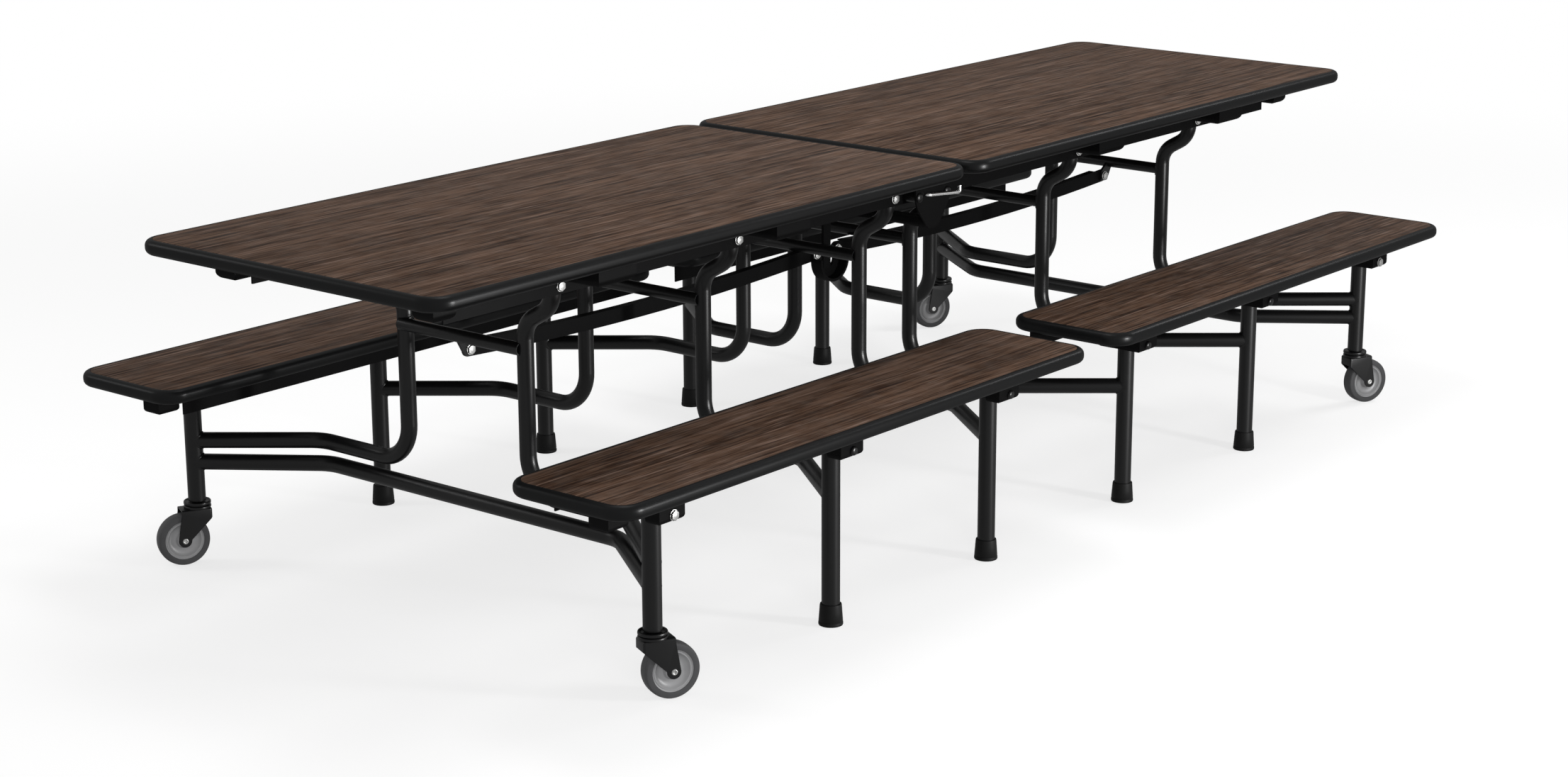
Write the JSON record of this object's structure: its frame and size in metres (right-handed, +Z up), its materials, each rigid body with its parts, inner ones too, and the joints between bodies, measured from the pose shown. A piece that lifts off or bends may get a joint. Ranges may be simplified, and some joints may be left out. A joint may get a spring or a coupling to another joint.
{
  "type": "folding cafeteria table with benches",
  "caption": "Long two-part folding table with bench seats on both sides, on bent black tube frames with casters under the ends, folding upward at the middle.",
  "frame": {"origin": "on the floor under the middle of the table", "axes": "+X along the table from the near half to the far half, +Y to the left, +Z up"},
  "size_m": [3.064, 1.44, 0.737],
  "materials": {
    "laminate": "dark walnut-look laminate with fine straight grain, satin",
    "edge": "moulded black edge, satin gloss",
    "frame_paint": "black powder coat, semi-gloss",
    "zinc": "zinc-plated",
    "bright_rod": "bright plated rod",
    "ferrule": "black rubber",
    "tread": "grey non-marking rubber",
    "hub": "light grey moulded hub"
  },
  "bodies": {
    "near_top": {"near_top_board": "laminate", "near_top_edge": "edge", "near_top_rails": "frame_paint", "near_top_screws": "zinc"},
    "near_end_frame": {"near_end_frame_tubes": "frame_paint", "near_end_frame_legs": "frame_paint", "near_end_frame_bolts": "zinc"},
    "near_middle_frame": {"near_middle_frame_tubes": "frame_paint", "near_middle_frame_legs": "frame_paint", "near_middle_frame_bolts": "zinc", "near_middle_frame_feet": "ferrule"},
    "near_inner_frame": {"near_inner_frame_tubes": "frame_paint", "near_inner_frame_legs": "frame_paint", "near_inner_frame_bolts": "zinc", "near_inner_frame_feet": "ferrule"},
    "near_left_bench": {"near_left_bench_board": "laminate", "near_left_bench_edge": "edge", "near_left_bench_brackets": "frame_paint"},
    "near_left_fork": {"near_left_caster_fork": "frame_paint"},
    "near_left_wheel": {"near_left_caster_tread": "tread", "near_left_caster_hub": "hub"},
    "near_right_bench": {"near_right_bench_board": "laminate", "near_right_bench_edge": "edge", "near_right_bench_brackets": "frame_paint"},
    "near_right_fork": {"near_right_caster_fork": "frame_paint"},
    "near_right_wheel": {"near_right_caster_tread": "tread", "near_right_caster_hub": "hub"},
    "near_bar": {"near_sync_bar": "frame_paint"},
    "far_top": {"far_top_board": "laminate", "far_top_edge": "edge", "far_top_rails": "frame_paint", "far_top_screws": "zinc"},
    "far_end_frame": {"far_end_frame_tubes": "frame_paint", "far_end_frame_legs": "frame_paint", "far_end_frame_bolts": "zinc"},
    "far_middle_frame": {"far_middle_frame_tubes": "frame_paint", "far_middle_frame_legs": "frame_paint", "far_middle_frame_bolts": "zinc", "far_middle_frame_feet": "ferrule"},
    "far_inner_frame": {"far_inner_frame_tubes": "frame_paint", "far_inner_frame_legs": "frame_paint", "far_inner_frame_bolts": "zinc", "far_inner_frame_feet": "ferrule"},
    "far_left_bench": {"far_left_bench_board": "laminate", "far_left_bench_edge": "edge", "far_left_bench_brackets": "frame_paint"},
    "far_left_fork": {"far_left_caster_fork": "frame_paint"},
    "far_left_wheel": {"far_left_caster_tread": "tread", "far_left_caster_hub": "hub"},
    "far_right_bench": {"far_right_bench_board": "laminate", "far_right_bench_edge": "edge", "far_right_bench_brackets": "frame_paint"},
    "far_right_fork": {"far_right_caster_fork": "frame_paint"},
    "far_right_wheel": {"far_right_caster_tread": "tread", "far_right_caster_hub": "hub"},
    "far_bar": {"far_sync_bar": "frame_paint"},
    "link": {"centre_link": "frame_paint", "link_pins": "zinc"},
    "left_lever": {"left_latch_lever": "bright_rod"},
    "right_lever": {"right_latch_lever": "bright_rod"}
  },
  "joints": [
    {"name": "fold", "type": "hinge", "parent": "near_end_frame", "child": "near_top", "pos_m": [-1.084, 0, 0.66], "axis": [0, -1, 0], "range_deg": [0, 80]},
    {"name": "near_middle_frame_pivot", "type": "hinge", "parent": "near_top", "child": "near_middle_frame", "pos_m": [-0.586, 0, 0.66], "axis": [0, -1, 0], "range_deg": [-80, 0]},
    {"name": "near_inner_frame_pivot", "type": "hinge", "parent": "near_top", "child": "near_inner_frame", "pos_m": [-0.088, 0, 0.66], "axis": [0, -1, 0], "range_deg": [-80, 0]},
    {"name": "near_link_hinge", "type": "hinge", "parent": "near_top", "child": "link", "pos_m": [-0.048, 0, 0.66], "axis": [0, -1, 0], "range_deg": [-80, 0]},
    {"name": "far_link_hinge", "type": "hinge", "parent": "link", "child": "far_top", "pos_m": [0.048, 0, 0.66], "axis": [0, -1, 0], "range_deg": [-80, 0]},
    {"name": "far_middle_frame_pivot", "type": "hinge", "parent": "far_top", "child": "far_middle_frame", "pos_m": [0.586, 0, 0.66], "axis": [0, -1, 0], "range_deg": [0, 80]},
    {"name": "far_inner_frame_pivot", "type": "hinge", "parent": "far_top", "child": "far_inner_frame", "pos_m": [0.088, 0, 0.66], "axis": [0, -1, 0], "range_deg": [0, 80]},
    {"name": "far_end_frame_pivot", "type": "hinge", "parent": "far_top", "child": "far_end_frame", "pos_m": [1.084, 0, 0.66], "axis": [0, -1, 0], "range_deg": [0, 80]},
    {"name": "near_left_bench_pivot", "type": "hinge", "parent": "near_end_frame", "child": "near_left_bench", "pos_m": [-1.244, 0.605, 0.348], "axis": [0, -1, 0], "range_deg": [0, 80]},
    {"name": "near_right_bench_pivot", "type": "hinge", "parent": "near_end_frame", "child": "near_right_bench", "pos_m": [-1.244, -0.605, 0.348], "axis": [0, -1, 0], "range_deg": [0, 80]},
    {"name": "near_sync_bar_pivot", "type": "hinge", "parent": "near_end_frame", "child": "near_bar", "pos_m": [-1.072, 0, 0.5], "axis": [0, -1, 0], "range_deg": [0, 80]},
    {"name": "far_left_bench_pivot", "type": "hinge", "parent": "far_end_frame", "child": "far_left_bench", "pos_m": [1.244, 0.605, 0.348], "axis": [0, -1, 0], "range_deg": [-80, 0]},
    {"name": "far_right_bench_pivot", "type": "hinge", "parent": "far_end_frame", "child": "far_right_bench", "pos_m": [1.244, -0.605, 0.348], "axis": [0, -1, 0], "range_deg": [-80, 0]},
    {"name": "far_sync_bar_pivot", "type": "hinge", "parent": "far_end_frame", "child": "far_bar", "pos_m": [1.072, 0, 0.5], "axis": [0, -1, 0], "range_deg": [-80, 0]},
    {"name": "near_left_caster_swivel", "type": "hinge", "parent": "near_end_frame", "child": "near_left_fork", "pos_m": [-1.244, 0.605, 0.12], "axis": [0, 0, 1], "continuous": true},
    {"name": "near_left_wheel_spin", "type": "hinge", "parent": "near_left_fork", "child": "near_left_wheel", "pos_m": [-1.27276, 0.61903, 0.052], "axis": [-0.4384, -0.8988, 0], "continuous": true},
    {"name": "near_right_caster_swivel", "type": "hinge", "parent": "near_end_frame", "child": "near_right_fork", "pos_m": [-1.244, -0.605, 0.12], "axis": [0, 0, 1], "continuous": true},
    {"name": "near_right_wheel_spin", "type": "hinge", "parent": "near_right_fork", "child": "near_right_wheel", "pos_m": [-1.21524, -0.61903, 0.052], "axis": [0.4384, 0.8988, 0], "continuous": true},
    {"name": "far_left_caster_swivel", "type": "hinge", "parent": "far_end_frame", "child": "far_left_fork", "pos_m": [1.244, 0.605, 0.12], "axis": [0, 0, 1], "continuous": true},
    {"name": "far_left_wheel_spin", "type": "hinge", "parent": "far_left_fork", "child": "far_left_wheel", "pos_m": [1.21524, 0.61903, 0.052], "axis": [-0.4384, -0.8988, 0], "continuous": true},
    {"name": "far_right_caster_swivel", "type": "hinge", "parent": "far_end_frame", "child": "far_right_fork", "pos_m": [1.244, -0.605, 0.12], "axis": [0, 0, 1], "continuous": true},
    {"name": "far_right_wheel_spin", "type": "hinge", "parent": "far_right_fork", "child": "far_right_wheel", "pos_m": [1.27276, -0.61903, 0.052], "axis": [0.4384, 0.8988, 0], "continuous": true},
    {"name": "left_latch", "type": "hinge", "parent": "link", "child": "left_lever", "pos_m": [-0.028, 0.283, 0.664], "axis": [0, -1, 0], "range_deg": [0, 12]},
    {"name": "right_latch", "type": "hinge", "parent": "link", "child": "right_lever", "pos_m": [-0.028, -0.283, 0.664], "axis": [0, -1, 0], "range_deg": [0, 12]}
  ],
  "couplings": [
    {"joint": "near_middle_frame_pivot", "follows": "fold", "ratio": -1},
    {"joint": "near_inner_frame_pivot", "follows": "fold", "ratio": -1},
    {"joint": "near_link_hinge", "follows": "fold", "ratio": -1},
    {"joint": "far_link_hinge", "follows": "fold", "ratio": -1},
    {"joint": "far_middle_frame_pivot", "follows": "fold", "ratio": 1},
    {"joint": "far_inner_frame_pivot", "follows": "fold", "ratio": 1},
    {"joint": "far_end_frame_pivot", "follows": "fold", "ratio": 1},
    {"joint": "near_left_bench_pivot", "follows": "fold", "ratio": 1},
    {"joint": "near_right_bench_pivot", "follows": "fold", "ratio": 1},
    {"joint": "near_sync_bar_pivot", "follows": "fold", "ratio": 1},
    {"joint": "far_left_bench_pivot", "follows": "fold", "ratio": -1},
    {"joint": "far_right_bench_pivot", "follows": "fold", "ratio": -1},
    {"joint": "far_sync_bar_pivot", "follows": "fold", "ratio": -1}
  ]
}
